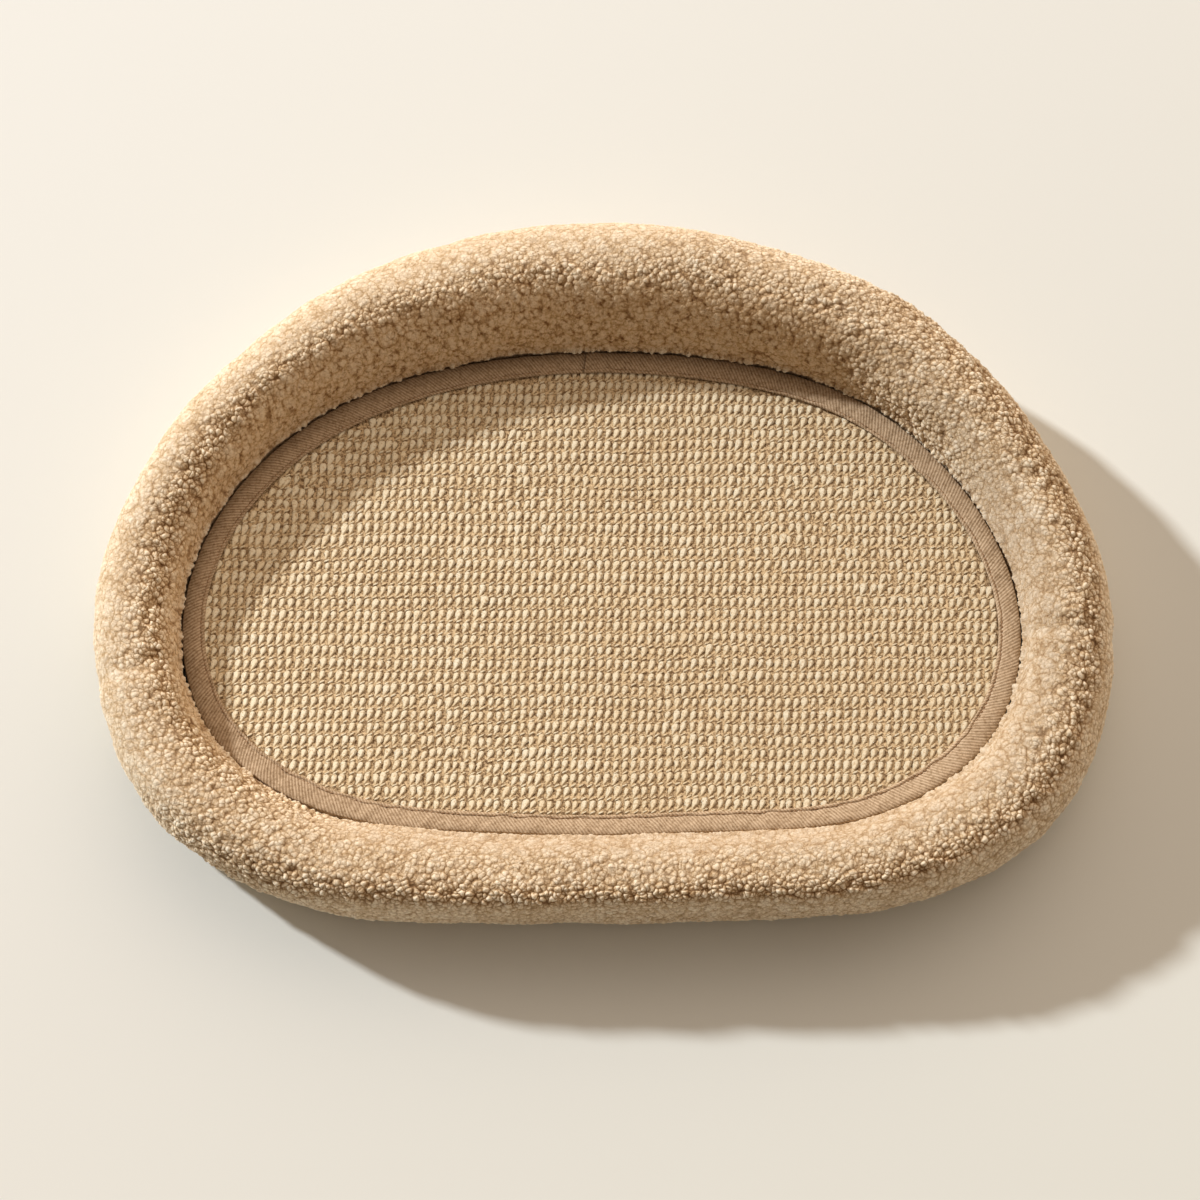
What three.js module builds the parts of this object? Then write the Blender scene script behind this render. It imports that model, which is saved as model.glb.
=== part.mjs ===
// Oval cat lounger bed. A filled fleece bolster forms a ring that is low along the front and
// thicker and higher round the back. Inside it a plain filled pad carries a flat woven sisal
// scratching mat, whose edge is bound with folded twill tape.
// Millimetres, +Z up. The low front faces -Y and the underside lies on z = 0.

import * as THREE from 'three';
import { mergeVertices } from 'three/addons/utils/BufferGeometryUtils.js';

// Bolster ring. Each row pulls a smooth closed curve towards its own section: the angle and
// radius place the section's middle in plan, seen from the ring's centre, and the tape column
// is how far the mat's binding reaches in from the bolster there. The outer and inner columns
// say how full the upper half of the section is on each side: 2 is an ellipse and more is
// squarer. The lean column is how far the section's top leans outwards.
const RING = [
  { angle: 0, radius: 278.5, halfWidth: 26, height: 56, tape: 12, outer: 2.3, inner: 2.4, lean: 0 },
  { angle: 22.5, radius: 258, halfWidth: 26.5, height: 64, tape: 13.5, outer: 2.3, inner: 2.2, lean: 0 },
  { angle: 45, radius: 241, halfWidth: 31.5, height: 71, tape: 15, outer: 2.25, inner: 2, lean: 0 },
  { angle: 67.5, radius: 218.5, halfWidth: 38, height: 74.5, tape: 15, outer: 2.2, inner: 1.9, lean: 0 },
  { angle: 90, radius: 209.5, halfWidth: 40, height: 75.5, tape: 13, outer: 2.2, inner: 1.85, lean: 0 },
  { angle: 112.5, radius: 217, halfWidth: 38, height: 74.5, tape: 14.5, outer: 2.2, inner: 1.9, lean: 0 },
  { angle: 135, radius: 236.5, halfWidth: 31.5, height: 71, tape: 16.5, outer: 2.25, inner: 2, lean: 0 },
  { angle: 157.5, radius: 257.5, halfWidth: 25, height: 64, tape: 13.5, outer: 2.4, inner: 2.3, lean: 0 },
  { angle: 180, radius: 275.5, halfWidth: 25, height: 56, tape: 12, outer: 2.5, inner: 2.5, lean: 0 },
  { angle: 202.5, radius: 269.5, halfWidth: 25.5, height: 52, tape: 15.5, outer: 2.6, inner: 2.6, lean: 0 },
  { angle: 225, radius: 226.5, halfWidth: 26.5, height: 51.5, tape: 15, outer: 2.8, inner: 2.6, lean: 2.5 },
  { angle: 247.5, radius: 173.5, halfWidth: 23, height: 52, tape: 12.5, outer: 2.9, inner: 2.6, lean: 5 },
  { angle: 270, radius: 163.5, halfWidth: 23, height: 52, tape: 13, outer: 2.9, inner: 2.6, lean: 5.5 },
  { angle: 292.5, radius: 172, halfWidth: 22.5, height: 52, tape: 13.5, outer: 2.9, inner: 2.6, lean: 5 },
  { angle: 315, radius: 227.5, halfWidth: 24.5, height: 51.5, tape: 13.5, outer: 2.7, inner: 2.6, lean: 2.5 },
  { angle: 337.5, radius: 275, halfWidth: 28.5, height: 52, tape: 15.5, outer: 2.4, inner: 2.5, lean: 0 },
];
const RING_CENTRE = new THREE.Vector2(0, -20);
const RING_STEPS = 84;
const SECTION_POINTS = 26;
const FLOOR_FLAT = 2.4;
const SHORT_SHARE = 1e-4;

// The lower half is as full on both sides. Over the top, one side's fullness passes smoothly into
// the other's, and a higher sharpness makes that turn shorter.
const LOWER_FULLNESS = 2.15;
const SIDE_SHARPNESS = 2.5;

// Soft lumps in the filling, one row for each wave along the ring
const LUMPS = [
  { waves: 9, twist: 1, shift: 0.4, depth: 0.5 },
  { waves: 14, twist: -1, shift: 2.1, depth: 0.35 },
  { waves: 5, twist: 2, shift: 4.4, depth: 0.45 },
];
const LUMP_FADE = 10;

// Creases where the fleece sleeve's two lengths are joined, at the two sides of the ring
const SLEEVE_JOINS = [{ angle: 355.8 }, { angle: 189.6 }];
const JOIN_DEPTH = 1.2;
const JOIN_HALF_WIDTH = 6;
const JOIN_STEPS = [-12, -7, -3.5, 0, 3.5, 7, 12];

// Base pad
const PIECE_GAP = 0.5;
const PAD_EDGE_TOP = 24.5;
const PAD_CROWN = 1.5;
const PAD_EDGE_ROUND = 4;

// Shares of the way out from the pad's middle where its crown starts and where it is full
const CROWN_START = 0.88;
const CROWN_FULL = 0.78;

// Sisal mat and its binding
const TAPE_THICK = 1.2;
const TAPE_ROUND = 1.4;
const FOLD_GAP = 0.35;
const MAT_THICK = 5.2;
const BINDING_BOTTOM = PAD_EDGE_TOP + PIECE_GAP;
const MAT_BOTTOM = BINDING_BOTTOM + TAPE_THICK + FOLD_GAP;
const BINDING_TOP = MAT_BOTTOM + MAT_THICK + FOLD_GAP + TAPE_THICK;

const FLEECE = new THREE.MeshStandardMaterial({ color: 0xd8b88f, roughness: 0.95, metalness: 0 });
const PAD_CLOTH = new THREE.MeshStandardMaterial({ color: 0xc8aa84, roughness: 0.9, metalness: 0 });
const SISAL = new THREE.MeshStandardMaterial({ color: 0xccb28c, roughness: 0.9, metalness: 0 });
const TWILL = new THREE.MeshStandardMaterial({ color: 0xa88260, roughness: 0.85, metalness: 0 });

// The middle of each row's section in plan
function rowMiddle(row) {
  const turn = THREE.MathUtils.degToRad(row.angle);
  const x = RING_CENTRE.x + row.radius * Math.cos(turn);
  const y = RING_CENTRE.y + row.radius * Math.sin(turn);
  return new THREE.Vector3(x, y, 0);
}

// Point of the smooth closed curve that a list of points pulls into shape (a cubic B-spline)
function pulledPoint(points, share) {
  const place = (((share % 1) + 1) % 1) * points.length;
  const first = Math.floor(place);
  const part = place - first;
  const weights = [
    (1 - part) ** 3 / 6,
    (3 * part ** 3 - 6 * part ** 2 + 4) / 6,
    (-3 * part ** 3 + 3 * part ** 2 + 3 * part + 1) / 6,
    part ** 3 / 6,
  ];
  const sum = new THREE.Vector3();
  weights.forEach((weight, index) => {
    const point = points[(first + index - 1 + points.length) % points.length];
    sum.addScaledVector(point, weight);
  });
  return sum;
}

class PulledCurve extends THREE.Curve {
  constructor(points) {
    super();
    this.points = points;
  }

  getPoint(share) {
    return pulledPoint(this.points, share);
  }
}

const centreLine = new PulledCurve(RING.map(rowMiddle));
const sizeLine = new PulledCurve(RING.map((row) =>
  new THREE.Vector3(row.halfWidth, row.height, row.tape)));
const upperLine = new PulledCurve(RING.map((row) =>
  new THREE.Vector3(row.outer, row.inner, row.lean)));

// A place on the ring: its middle, its outward direction and its sizes there
function stationAt(share) {
  const middle = centreLine.getPoint(share);
  const along = centreLine.getPoint(share + SHORT_SHARE)
    .sub(centreLine.getPoint(share - SHORT_SHARE));
  const outward = new THREE.Vector3(along.y, -along.x, 0).normalize();
  const sizes = sizeLine.getPoint(share);
  const upper = upperLine.getPoint(share);
  return {
    share,
    middle,
    outward,
    halfWidth: sizes.x,
    height: sizes.y,
    tape: sizes.z,
    outer: upper.x,
    inner: upper.y,
    lean: upper.z,
  };
}

// Places at even steps round the ring, the same for every piece so that their facets run parallel
const evenShares = Array.from({ length: RING_STEPS }, (_, step) => step / RING_STEPS);
const stations = evenShares.map(stationAt);

// The bolster has extra places at its creases
const ringLength = centreLine.getLength();
const joinShares = SLEEVE_JOINS.map((join) => join.angle / 360);
function ringDistance(shareA, shareB) {
  const apart = Math.abs(shareA - shareB);
  return Math.min(apart, 1 - apart) * ringLength;
}
const clearOfJoins = (share) => joinShares.every((join) =>
  ringDistance(share, join) > JOIN_STEPS[JOIN_STEPS.length - 1] + JOIN_HALF_WIDTH / 2);
const joinStepShares = joinShares.flatMap((join) =>
  JOIN_STEPS.map((step) => join + step / ringLength));
const bolsterStations = evenShares.filter(clearOfJoins).concat(joinStepShares)
  .sort((a, b) => a - b).map(stationAt);

function fullnessAt(station, turn) {
  if (Math.sin(turn) < 0) {
    return LOWER_FULLNESS;
  }
  const outerShare = 0.5 + 0.5 * Math.tanh(SIDE_SHARPNESS * Math.cos(turn));
  return THREE.MathUtils.lerp(station.inner, station.outer, outerShare);
}

// One point of the bolster's section, out from its middle and up from the floor
function bolsterPoint(station, turn) {
  const power = 2 / fullnessAt(station, turn);
  const across = Math.sign(Math.cos(turn)) * Math.abs(Math.cos(turn)) ** power;
  const upward = Math.sign(Math.sin(turn)) * Math.abs(Math.sin(turn)) ** power;
  const halfHeight = (station.height + FLOOR_FLAT) / 2;
  let out = across * station.halfWidth + station.lean * Math.max(upward, 0) ** 2;
  let up = halfHeight * (1 + upward) - FLOOR_FLAT;
  const aboveFloor = THREE.MathUtils.clamp(up / LUMP_FADE, 0, 1);
  const aboveMat = THREE.MathUtils.clamp((up - BINDING_TOP) / LUMP_FADE, 0, 1);
  const free = across > 0 ? aboveFloor : aboveMat;
  const lump = LUMPS.reduce((sum, wave) => sum + wave.depth
    * Math.sin(2 * Math.PI * wave.waves * station.share + wave.twist * turn + wave.shift), 0);
  const pinch = joinShares.reduce((sum, join) => sum + JOIN_DEPTH
    * Math.exp(-((ringDistance(station.share, join) / JOIN_HALF_WIDTH) ** 2)), 0);
  const shift = free * lump - aboveFloor * pinch;
  out += shift * Math.cos(turn);
  up += shift * Math.sin(turn);
  return station.middle.clone().addScaledVector(station.outward, out).setZ(Math.max(up, 0));
}

// Closed ring of facets through loops of points, each loop one section of the ring
function ringGeometry(loops) {
  const size = loops[0].length;
  const triangles = [];
  loops.forEach((loop, index) => {
    const here = index * size;
    const next = ((index + 1) % loops.length) * size;
    for (let point = 0; point < size; point += 1) {
      const after = (point + 1) % size;
      triangles.push(here + point, next + point, next + after);
      triangles.push(here + point, next + after, here + after);
    }
  });
  return indexedGeometry(loops.flat(), triangles);
}

// Solid built up from closed level outlines, first to last, shut by a point at each end
function stackedGeometry(levels, lowPoint, highPoint) {
  const size = levels[0].length;
  const points = [lowPoint, ...levels.flat(), highPoint];
  const triangles = [];
  for (let point = 0; point < size; point += 1) {
    const after = (point + 1) % size;
    triangles.push(0, 1 + after, 1 + point);
    levels.slice(1).forEach((_, level) => {
      const low = 1 + level * size;
      const high = low + size;
      triangles.push(low + point, low + after, high + after);
      triangles.push(low + point, high + after, high + point);
    });
    const top = 1 + (levels.length - 1) * size;
    triangles.push(top + point, top + after, points.length - 1);
  }
  return indexedGeometry(points, triangles);
}

function indexedGeometry(points, triangles) {
  const geometry = new THREE.BufferGeometry().setFromPoints(points);
  geometry.setIndex(triangles);
  return mergeVertices(geometry);
}

// Outline inside the bolster: a point for each place, a given way in from the bolster's side
function insideOutline(inset, height) {
  return stations.map((station) => station.middle.clone()
    .addScaledVector(station.outward, -(station.halfWidth + inset)).setZ(height));
}

// The same outline drawn in towards the ring's centre
function drawnIn(outline, share, height) {
  const centre = new THREE.Vector3(RING_CENTRE.x, RING_CENTRE.y, 0);
  return outline.map((point) => centre.clone().lerp(point, share).setZ(height));
}

function makeBolster() {
  const turns = Array.from({ length: SECTION_POINTS }, (_, point) =>
    (2 * Math.PI * point) / SECTION_POINTS);
  const loops = bolsterStations.map((station) => turns.map((turn) => bolsterPoint(station, turn)));
  return ringGeometry(loops);
}

function makeBasePad() {
  const wall = PIECE_GAP;
  const edge = insideOutline(wall, PAD_EDGE_TOP);
  const levels = [
    insideOutline(wall + PAD_EDGE_ROUND, 0),
    insideOutline(wall, PAD_EDGE_ROUND),
    insideOutline(wall, PAD_EDGE_TOP - PAD_EDGE_ROUND),
    insideOutline(wall + PAD_EDGE_ROUND, PAD_EDGE_TOP),
    drawnIn(edge, CROWN_START, PAD_EDGE_TOP),
    drawnIn(edge, CROWN_FULL, PAD_EDGE_TOP + PAD_CROWN),
  ];
  const under = new THREE.Vector3(RING_CENTRE.x, RING_CENTRE.y, 0);
  return stackedGeometry(levels, under, under.clone().setZ(PAD_EDGE_TOP + PAD_CROWN));
}

function makeSisalMat() {
  const inset = PIECE_GAP + TAPE_THICK + FOLD_GAP;
  const levels = [
    insideOutline(inset, MAT_BOTTOM),
    insideOutline(inset, MAT_BOTTOM + MAT_THICK),
  ];
  const under = new THREE.Vector3(RING_CENTRE.x, RING_CENTRE.y, MAT_BOTTOM);
  return stackedGeometry(levels, under, under.clone().setZ(MAT_BOTTOM + MAT_THICK));
}

// Tape folded over the mat's edge: its section runs round the outside and back along the fold
function bindingSection(station) {
  const top = BINDING_TOP;
  const bottom = BINDING_BOTTOM;
  const reach = station.tape;
  return [
    { inset: 0, up: bottom + TAPE_ROUND },
    { inset: 0, up: top - TAPE_ROUND },
    { inset: TAPE_ROUND, up: top },
    { inset: reach, up: top },
    { inset: reach, up: top - TAPE_THICK },
    { inset: TAPE_THICK, up: top - TAPE_THICK },
    { inset: TAPE_THICK, up: bottom + TAPE_THICK },
    { inset: reach, up: bottom + TAPE_THICK },
    { inset: reach, up: bottom },
    { inset: TAPE_ROUND, up: bottom },
  ];
}

function makeMatBinding() {
  const loops = stations.map((station) => bindingSection(station).map(({ inset, up }) => {
    const out = -(station.halfWidth + PIECE_GAP + inset);
    return station.middle.clone().addScaledVector(station.outward, out).setZ(up);
  }));
  return ringGeometry(loops);
}

function addPiece(group, name, geometry, material) {
  const mesh = new THREE.Mesh(geometry, material);
  mesh.name = name;
  group.add(mesh);
  return mesh;
}

const bed = new THREE.Group();
const bolster = addPiece(bed, 'bolster', makeBolster(), FLEECE);
addPiece(bed, 'base_pad', makeBasePad(), PAD_CLOTH);
addPiece(bed, 'sisal_mat', makeSisalMat(), SISAL);
addPiece(bed, 'mat_binding', makeMatBinding(), TWILL);

// The origin is the middle of the footprint
bolster.geometry.computeBoundingBox();
const footprint = bolster.geometry.boundingBox.getCenter(new THREE.Vector3());
bed.position.set(-footprint.x, -footprint.y, 0);

export default bed;
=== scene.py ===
"""The looks of an oval cat lounger bed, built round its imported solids.

Sizes are written in millimetres and turned into metres where a mesh is made. +Z is up and the
low front of the bolster faces -Y.
"""

import math
from collections import namedtuple
from types import SimpleNamespace

import bpy
import numpy as np
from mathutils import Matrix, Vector


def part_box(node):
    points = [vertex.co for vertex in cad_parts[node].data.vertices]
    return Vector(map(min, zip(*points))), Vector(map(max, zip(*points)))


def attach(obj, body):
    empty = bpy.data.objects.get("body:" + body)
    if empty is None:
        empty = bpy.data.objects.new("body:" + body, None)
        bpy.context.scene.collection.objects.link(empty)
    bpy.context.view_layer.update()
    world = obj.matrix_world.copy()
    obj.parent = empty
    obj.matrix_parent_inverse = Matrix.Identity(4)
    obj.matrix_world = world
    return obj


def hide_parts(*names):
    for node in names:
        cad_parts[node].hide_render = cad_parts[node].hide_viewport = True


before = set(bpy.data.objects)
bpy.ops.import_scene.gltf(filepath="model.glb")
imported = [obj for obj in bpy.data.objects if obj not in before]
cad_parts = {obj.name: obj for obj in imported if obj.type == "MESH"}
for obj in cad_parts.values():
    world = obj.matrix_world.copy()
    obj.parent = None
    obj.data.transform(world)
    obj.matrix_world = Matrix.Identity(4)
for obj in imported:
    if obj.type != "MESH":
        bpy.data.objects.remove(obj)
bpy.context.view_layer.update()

MM = 0.001
TAU = 2 * math.pi

# The bolster ring, as in the solids. Each row pulls a smooth closed curve towards its section.
# It says how wide the tape shows there, how full the upper half is on the outside and on the
# inside, and how far its top leans outwards, if it does.
SIZES = "half_width height tape outer_full inner_full lean"
Row = namedtuple("Row", "angle radius " + SIZES, defaults=[0])
RING = [
    Row(0, 278.5, 26, 56, 12, 2.3, 2.4),
    Row(22.5, 258, 26.5, 64, 13.5, 2.3, 2.2),
    Row(45, 241, 31.5, 71, 15, 2.25, 2),
    Row(67.5, 218.5, 38, 74.5, 15, 2.2, 1.9),
    Row(90, 209.5, 40, 75.5, 13, 2.2, 1.85),
    Row(112.5, 217, 38, 74.5, 14.5, 2.2, 1.9),
    Row(135, 236.5, 31.5, 71, 16.5, 2.25, 2),
    Row(157.5, 257.5, 25, 64, 13.5, 2.4, 2.3),
    Row(180, 275.5, 25, 56, 12, 2.5, 2.5),
    Row(202.5, 269.5, 25.5, 52, 15.5, 2.6, 2.6),
    Row(225, 226.5, 26.5, 51.5, 15, 2.8, 2.6, 2.5),
    Row(247.5, 173.5, 23, 52, 12.5, 2.9, 2.6, 5),
    Row(270, 163.5, 23, 52, 13, 2.9, 2.6, 5.5),
    Row(292.5, 172, 22.5, 52, 13.5, 2.9, 2.6, 5),
    Row(315, 227.5, 24.5, 51.5, 13.5, 2.7, 2.6, 2.5),
    Row(337.5, 275, 28.5, 52, 15.5, 2.4, 2.5),
]
RING_CENTRE_Y = -20
FLOOR_FLAT = 2.4

LOWER_FULLNESS = 2.15
SIDE_SHARPNESS = 2.5

Wave = namedtuple("Wave", "waves twist shift depth")
LUMPS = [Wave(9, 1, 0.4, 0.5), Wave(14, -1, 2.1, 0.35), Wave(5, 2, 4.4, 0.45)]
LUMP_FADE = 10
SLEEVE_JOINS = (355.8 / 360, 189.6 / 360)
JOIN_DEPTH = 1.2
JOIN_HALF_WIDTH = 6

# Levels of the mat and its binding, taken from the solids
PIECE_GAP = 0.5
binding_low, binding_high = (corner.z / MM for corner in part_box("mat_binding"))
mat_low, mat_high = (corner.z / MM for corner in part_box("sisal_mat"))


def column(name):
    return np.array([getattr(row, name) for row in RING], float)


def pulled(values, share):
    """Points of the smooth closed curve that a list of values pulls into shape."""
    place = np.mod(share, 1.0) * len(values)
    first = np.floor(place).astype(int)
    part = place - first
    weights = (
        (1 - part) ** 3 / 6,
        (3 * part ** 3 - 6 * part ** 2 + 4) / 6,
        (-3 * part ** 3 + 3 * part ** 2 + 3 * part + 1) / 6,
        part ** 3 / 6,
    )
    return sum(w * values[(first + k - 1) % len(values)] for k, w in enumerate(weights))


ROW_ANGLES = np.radians(column("angle"))
MIDDLE_X = column("radius") * np.cos(ROW_ANGLES)
MIDDLE_Y = column("radius") * np.sin(ROW_ANGLES) + RING_CENTRE_Y


def stations(share):
    """Middles, outward directions and sizes of the ring's sections at these shares of a turn."""
    short = 1e-4
    along_x = pulled(MIDDLE_X, share + short) - pulled(MIDDLE_X, share - short)
    along_y = pulled(MIDDLE_Y, share + short) - pulled(MIDDLE_Y, share - short)
    length = np.hypot(along_x, along_y)
    return SimpleNamespace(
        share=share,
        x=pulled(MIDDLE_X, share),
        y=pulled(MIDDLE_Y, share),
        out_x=along_y / length,
        out_y=-along_x / length,
        **{name: pulled(column(name), share) for name in SIZES.split()},
    )


def ring_distance(share, other):
    apart = np.abs(np.mod(share, 1.0) - other)
    return np.minimum(apart, 1 - apart) * RING_LENGTH


def centre_line_length():
    share = np.linspace(0, 1, 2001)
    x, y = pulled(MIDDLE_X, share), pulled(MIDDLE_Y, share)
    return float(np.hypot(np.diff(x), np.diff(y)).sum())


RING_LENGTH = centre_line_length()


def signed_power(value, power):
    return np.sign(value) * np.abs(value) ** power


def bolster_section(at, turn):
    """Out from the middle and up from the floor, on the bolster's smooth surface."""
    outer = 0.5 + 0.5 * np.tanh(SIDE_SHARPNESS * np.cos(turn))
    upper = at.inner_full + (at.outer_full - at.inner_full) * outer
    power = 2 / np.where(np.sin(turn) < 0, LOWER_FULLNESS, upper)
    across = signed_power(np.cos(turn), power)
    upward = signed_power(np.sin(turn), power)
    half_height = (at.height + FLOOR_FLAT) / 2
    out = across * at.half_width + at.lean * np.maximum(upward, 0) ** 2
    up = half_height * (1 + upward) - FLOOR_FLAT
    above_floor = np.clip(up / LUMP_FADE, 0, 1)
    above_mat = np.clip((up - binding_high) / LUMP_FADE, 0, 1)
    free = np.where(across > 0, above_floor, above_mat)
    lump = sum(
        wave.depth * np.sin(TAU * wave.waves * at.share + wave.twist * turn + wave.shift)
        for wave in LUMPS
    )
    pinch = sum(
        JOIN_DEPTH * np.exp(-((ring_distance(at.share, join) / JOIN_HALF_WIDTH) ** 2))
        for join in SLEEVE_JOINS
    )
    shift = free * lump - above_floor * pinch
    return out + shift * np.cos(turn), np.maximum(up + shift * np.sin(turn), 0)


def placed(at, out, up):
    """Points at a distance out and up from the ring's middle line."""
    return np.stack([at.x + at.out_x * out, at.y + at.out_y * out, up + 0 * at.x], -1)


def footprint_centre():
    """Middle of the bolster's footprint, which is the origin of the solids."""
    share, turn = np.meshgrid(np.linspace(0, 1, 721), np.linspace(0, TAU, 91), indexing="ij")
    at = stations(share)
    points = placed(at, *bolster_section(at, turn)).reshape(-1, 3)
    middle = (points.min(0) + points.max(0)) / 2
    return np.array([middle[0], middle[1], 0.0])


ORIGIN = footprint_centre()


def new_piece(name, points, faces, material):
    """A mesh object from points in millimetres and faces of three or four corners each."""
    mesh = bpy.data.meshes.new(name)
    corners = faces.shape[1]
    mesh.vertices.add(len(points))
    mesh.vertices.foreach_set("co", ((points - ORIGIN) * MM).astype(np.float32).ravel())
    mesh.loops.add(faces.size)
    mesh.loops.foreach_set("vertex_index", faces.astype(np.int32).ravel())
    mesh.polygons.add(len(faces))
    starts = np.arange(0, faces.size, corners, dtype=np.int32)
    mesh.polygons.foreach_set("loop_start", starts)
    mesh.polygons.foreach_set("use_smooth", np.full(len(faces), True))
    mesh.update(calc_edges=True)
    mesh.materials.append(material)
    piece = bpy.data.objects.new(name, mesh)
    bpy.context.scene.collection.objects.link(piece)
    return piece


# Smooth unevenness in space, with soft bumps about this high and this long
Bumps = namedtuple("Bumps", "rise length waves seed")


def soft_bumps(points, kind):
    dice = np.random.default_rng(kind.seed)
    total = np.zeros(points.shape[:-1])
    for _ in range(kind.waves):
        direction = dice.normal(0, 1, 3)
        direction *= dice.uniform(0.6, 1.4) * TAU / kind.length / np.linalg.norm(direction)
        total += np.sin(points @ direction + dice.uniform(0, TAU))
    return kind.rise * (total / math.sqrt(kind.waves / 2))


def add_values(piece, name, values, kind="FLOAT"):
    """A number or a vector for each point, which the materials read by its name."""
    attribute = piece.data.attributes.new(name, kind, "POINT")
    field = "value" if kind == "FLOAT" else "vector"
    attribute.data.foreach_set(field, np.asarray(values, np.float32).ravel())


def grid_faces(rows, columns, wrap_columns=False):
    """Four-cornered faces of a grid of points, rows first."""
    row = np.arange(rows - 1)
    col = np.arange(columns if wrap_columns else columns - 1)
    row, col = (part.ravel() for part in np.meshgrid(row, col, indexing="ij"))
    next_col = (col + 1) % columns
    return np.stack([
        row * columns + col,
        (row + 1) * columns + col,
        (row + 1) * columns + next_col,
        row * columns + next_col,
    ], -1)


# Materials

class Nodes:
    """Short ways to add and join the nodes of a material, or of the light of the room."""

    def __init__(self, owner):
        owner.use_nodes = True
        self.owner = owner
        self.tree = owner.node_tree

    def add(self, kind, **settings):
        node = self.tree.nodes.new(kind)
        for key, value in settings.items():
            setattr(node, key, value)
        return node

    def put(self, item, socket):
        """Join another node's output to a socket, or give the socket a plain value."""
        if isinstance(item, bpy.types.NodeSocket):
            self.tree.links.new(item, socket)
        else:
            socket.default_value = item

    def value(self, name):
        return self.add("ShaderNodeAttribute", attribute_name=name).outputs["Fac"]

    def place_named(self, name):
        return self.add("ShaderNodeAttribute", attribute_name=name).outputs["Vector"]

    def object_place(self):
        return self.add("ShaderNodeTexCoord").outputs["Object"]

    def noise(self, scale, detail=2.0, roughness=0.5):
        node = self.add("ShaderNodeTexNoise")
        self.put(scale, node.inputs["Scale"])
        self.put(detail, node.inputs["Detail"])
        self.put(roughness, node.inputs["Roughness"])
        self.put(self.object_place(), node.inputs["Vector"])
        return node.outputs["Fac"]

    def dot(self, place, direction):
        node = self.add("ShaderNodeVectorMath", operation="DOT_PRODUCT")
        self.put(place, node.inputs[0])
        self.put(direction, node.inputs[1])
        return node.outputs["Value"]

    def along(self, direction, start=0.5):
        """How far a point lies along a direction, counted from this start at the origin."""
        return self.math("ADD", self.dot(self.object_place(), direction), start)

    def math(self, operation, first, second=0):
        node = self.add("ShaderNodeMath", operation=operation)
        self.put(first, node.inputs[0])
        self.put(second, node.inputs[1])
        return node.outputs[0]

    def ramp(self, factor, stops):
        node = self.add("ShaderNodeValToRGB")
        elements = node.color_ramp.elements
        while len(elements) < len(stops):
            elements.new(0.5)
        for element, (place, colour) in zip(elements, stops):
            element.position = place
            element.color = (*colour, 1)
        self.put(factor, node.inputs["Fac"])
        return node.outputs["Color"]

    def mix(self, factor, first, second, blend="MIX"):
        node = self.add("ShaderNodeMix", data_type="RGBA", blend_type=blend)
        for socket, item in ((0, factor), (6, first), (7, second)):
            self.put((*item, 1) if isinstance(item, tuple) else item, node.inputs[socket])
        return node.outputs[2]

    def times(self, first, second):
        return self.mix(1.0, first, second, "MULTIPLY")

    def bump(self, height, distance, strength, under=None):
        node = self.add("ShaderNodeBump")
        self.put(strength, node.inputs["Strength"])
        self.put(distance, node.inputs["Distance"])
        self.put(height, node.inputs["Height"])
        if under is not None:
            self.put(under, node.inputs["Normal"])
        return node.outputs["Normal"]

    def eased_normal(self, share, towards):
        """The surface normal drawn this far towards another direction, as fibres spread light."""
        mix = self.add("ShaderNodeMix", data_type="VECTOR")
        self.put(share, mix.inputs[0])
        self.put(self.add("ShaderNodeNewGeometry").outputs["Normal"], mix.inputs[4])
        self.put(towards, mix.inputs[5])
        unit = self.add("ShaderNodeVectorMath", operation="NORMALIZE")
        self.put(mix.outputs[1], unit.inputs[0])
        return unit.outputs[0]

    def finished(self, **values):
        """The material, once its surface has these values."""
        for key, value in values.items():
            self.put(value, self.tree.nodes["Principled BSDF"].inputs[key.replace("_", " ")])
        return self.owner


def new_material(name):
    return Nodes(bpy.data.materials.new(name))


def linear(red, green, blue):
    """A colour as seen on a screen, 0 to 255, turned into the renderer's linear values."""
    def turn(value):
        share = value / 255
        return share / 12.92 if share <= 0.04045 else ((share + 0.055) / 1.055) ** 2.4
    return turn(red), turn(green), turn(blue)


WHITE = (1, 1, 1)
BLACK = (0, 0, 0)


def grey(value):
    return value, value, value


# A pattern of round cells that press together, in millimetres
Cells = namedtuple("Cells", "apart push wave")
TUFTS = Cells(3.2, 3.6, 3.0)
CLUMPS = Cells(9, 12, 9)


def add_cells(tree, place, cells):
    """Nodes that give the distance to the nearest crease and to the cell's middle."""
    noise = tree.nodes.new("ShaderNodeTexNoise")
    noise.inputs["Scale"].default_value = 1 / (cells.wave * MM)
    tree.links.new(place, noise.inputs["Vector"])
    push = tree.nodes.new("ShaderNodeVectorMath")
    push.operation = "MULTIPLY_ADD"
    tree.links.new(noise.outputs["Color"], push.inputs[0])
    push.inputs[1].default_value = (cells.push * MM, cells.push * MM, cells.push * MM)
    tree.links.new(place, push.inputs[2])
    found = []
    for feature in ("DISTANCE_TO_EDGE", "F1"):
        pattern = tree.nodes.new("ShaderNodeTexVoronoi")
        pattern.feature = feature
        pattern.inputs["Scale"].default_value = 1 / (cells.apart * MM)
        tree.links.new(push.outputs[0], pattern.inputs["Vector"])
        found.append(pattern.outputs["Distance"])
    return found


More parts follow.
